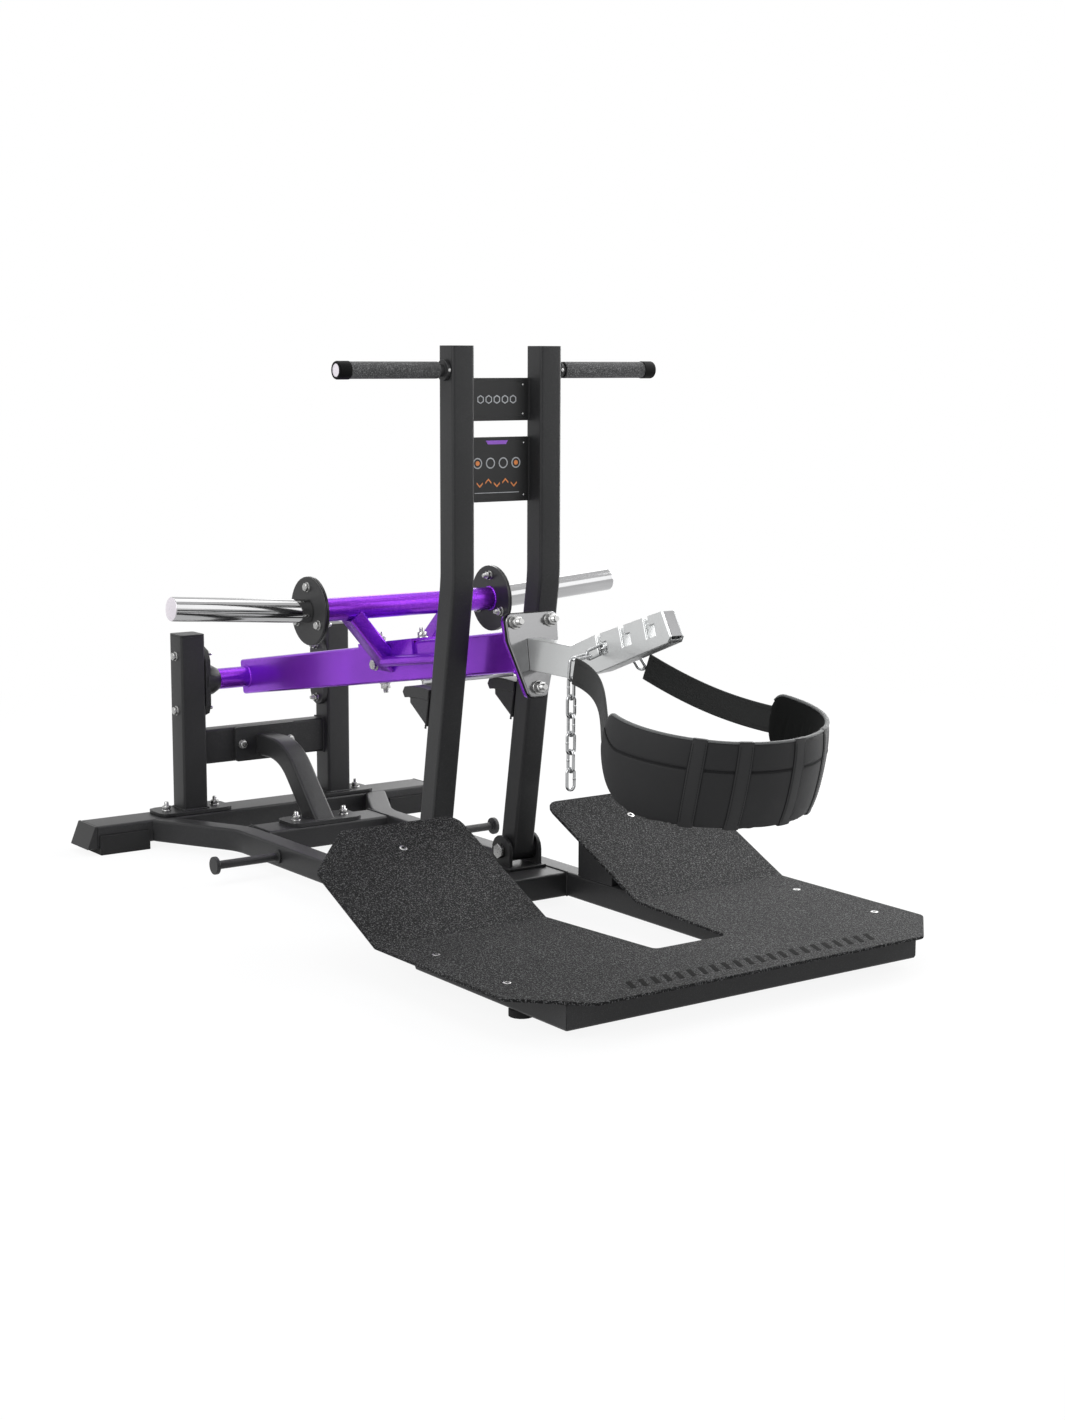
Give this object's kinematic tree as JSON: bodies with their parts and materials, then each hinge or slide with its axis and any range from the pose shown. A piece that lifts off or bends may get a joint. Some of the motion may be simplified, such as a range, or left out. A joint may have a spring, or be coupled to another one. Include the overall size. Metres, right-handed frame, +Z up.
{
  "type": "belt squat machine",
  "caption": "Plate-loaded belt squat machine: ramped foot deck, hinged handle frame, pivoting lever with weight horns, and a padded hip belt on a notched hook.",
  "frame": {"origin": "on the floor, in the middle of the whole machine's box", "axes": "+X to the right seen from the front, +Y from the deck's front edge towards the pivot tower, +Z up"},
  "size_m": [1.0676, 1.8648, 1.116],
  "materials": {
    "black_coat": "textured black powder coat",
    "grip_coat": "coarse anti-slip black coat",
    "purple_coat": "glossy purple powder coat",
    "chrome": "polished chrome plate",
    "zinc": "bright zinc plate",
    "rubber": "moulded black rubber",
    "plastic": "black moulded plastic",
    "leather": "grained black leather",
    "webbing": "woven black webbing"
  },
  "bodies": {
    "base": {"band_peg_left": "black_coat", "band_peg_right": "black_coat", "bearing_left": "black_coat", "bearing_right": "black_coat", "brace": "black_coat", "foot_deck": "grip_coat", "hinge_bracket_left": "black_coat", "hinge_bracket_right": "black_coat", "hinge_cross_beam": "black_coat", "hinge_pin_left": "zinc", "hinge_pin_right": "zinc", "levelling_foot_left": "rubber", "levelling_foot_right": "rubber", "middle_cross_beam": "black_coat", "platform_front_beam": "black_coat", "platform_side_beam_left": "black_coat", "platform_side_beam_right": "black_coat", "ramp_support_left": "black_coat", "ramp_support_right": "black_coat", "rear_beam": "black_coat", "rear_cap_left": "plastic", "rear_cap_right": "plastic", "rear_crossbar": "black_coat", "rear_foot_left": "rubber", "rear_foot_right": "rubber", "rear_upright_left": "black_coat", "rear_upright_right": "black_coat", "side_rail_left": "black_coat", "side_rail_right": "black_coat", "upright_cap_left": "plastic", "upright_cap_right": "plastic", "upright_foot_left": "black_coat", "upright_foot_right": "black_coat"},
    "handle_frame": {"catch_left": "black_coat", "catch_right": "black_coat", "frame_upright_left": "black_coat", "frame_upright_right": "black_coat", "grip_left": "rubber", "grip_right": "rubber", "handle_bar_left": "black_coat", "handle_bar_right": "black_coat", "placard_plate": "black_coat", "sign_plate": "black_coat"},
    "lever": {"hook_bracket": "zinc", "horn_disc_left": "black_coat", "horn_disc_right": "black_coat", "horn_frame": "purple_coat", "horn_left": "chrome", "horn_right": "chrome", "lever_arm": "purple_coat", "pivot_shaft": "zinc", "pivot_tube": "purple_coat", "stop_bar": "zinc", "tip_plate": "chrome"},
    "belt": {"belt_chain": "zinc", "belt_pad": "leather", "belt_strap_left": "webbing", "belt_strap_right": "webbing"}
  },
  "joints": [
    {"name": "handle_tilt", "type": "hinge", "parent": "base", "child": "handle_frame", "pos_m": [0, -0.00561, 0.102], "axis": [1, 0, 0], "range_deg": [0, 12]},
    {"name": "lever_pivot", "type": "hinge", "parent": "base", "child": "lever", "pos_m": [0, 0.88139, 0.364], "axis": [-1, 0, 0], "range_deg": [0, 8]},
    {"name": "belt_swing", "type": "hinge", "parent": "lever", "child": "belt", "pos_m": [0, -0.44491, 0.56944], "axis": [1, 0, 0], "range_deg": [-8, 16]}
  ]
}
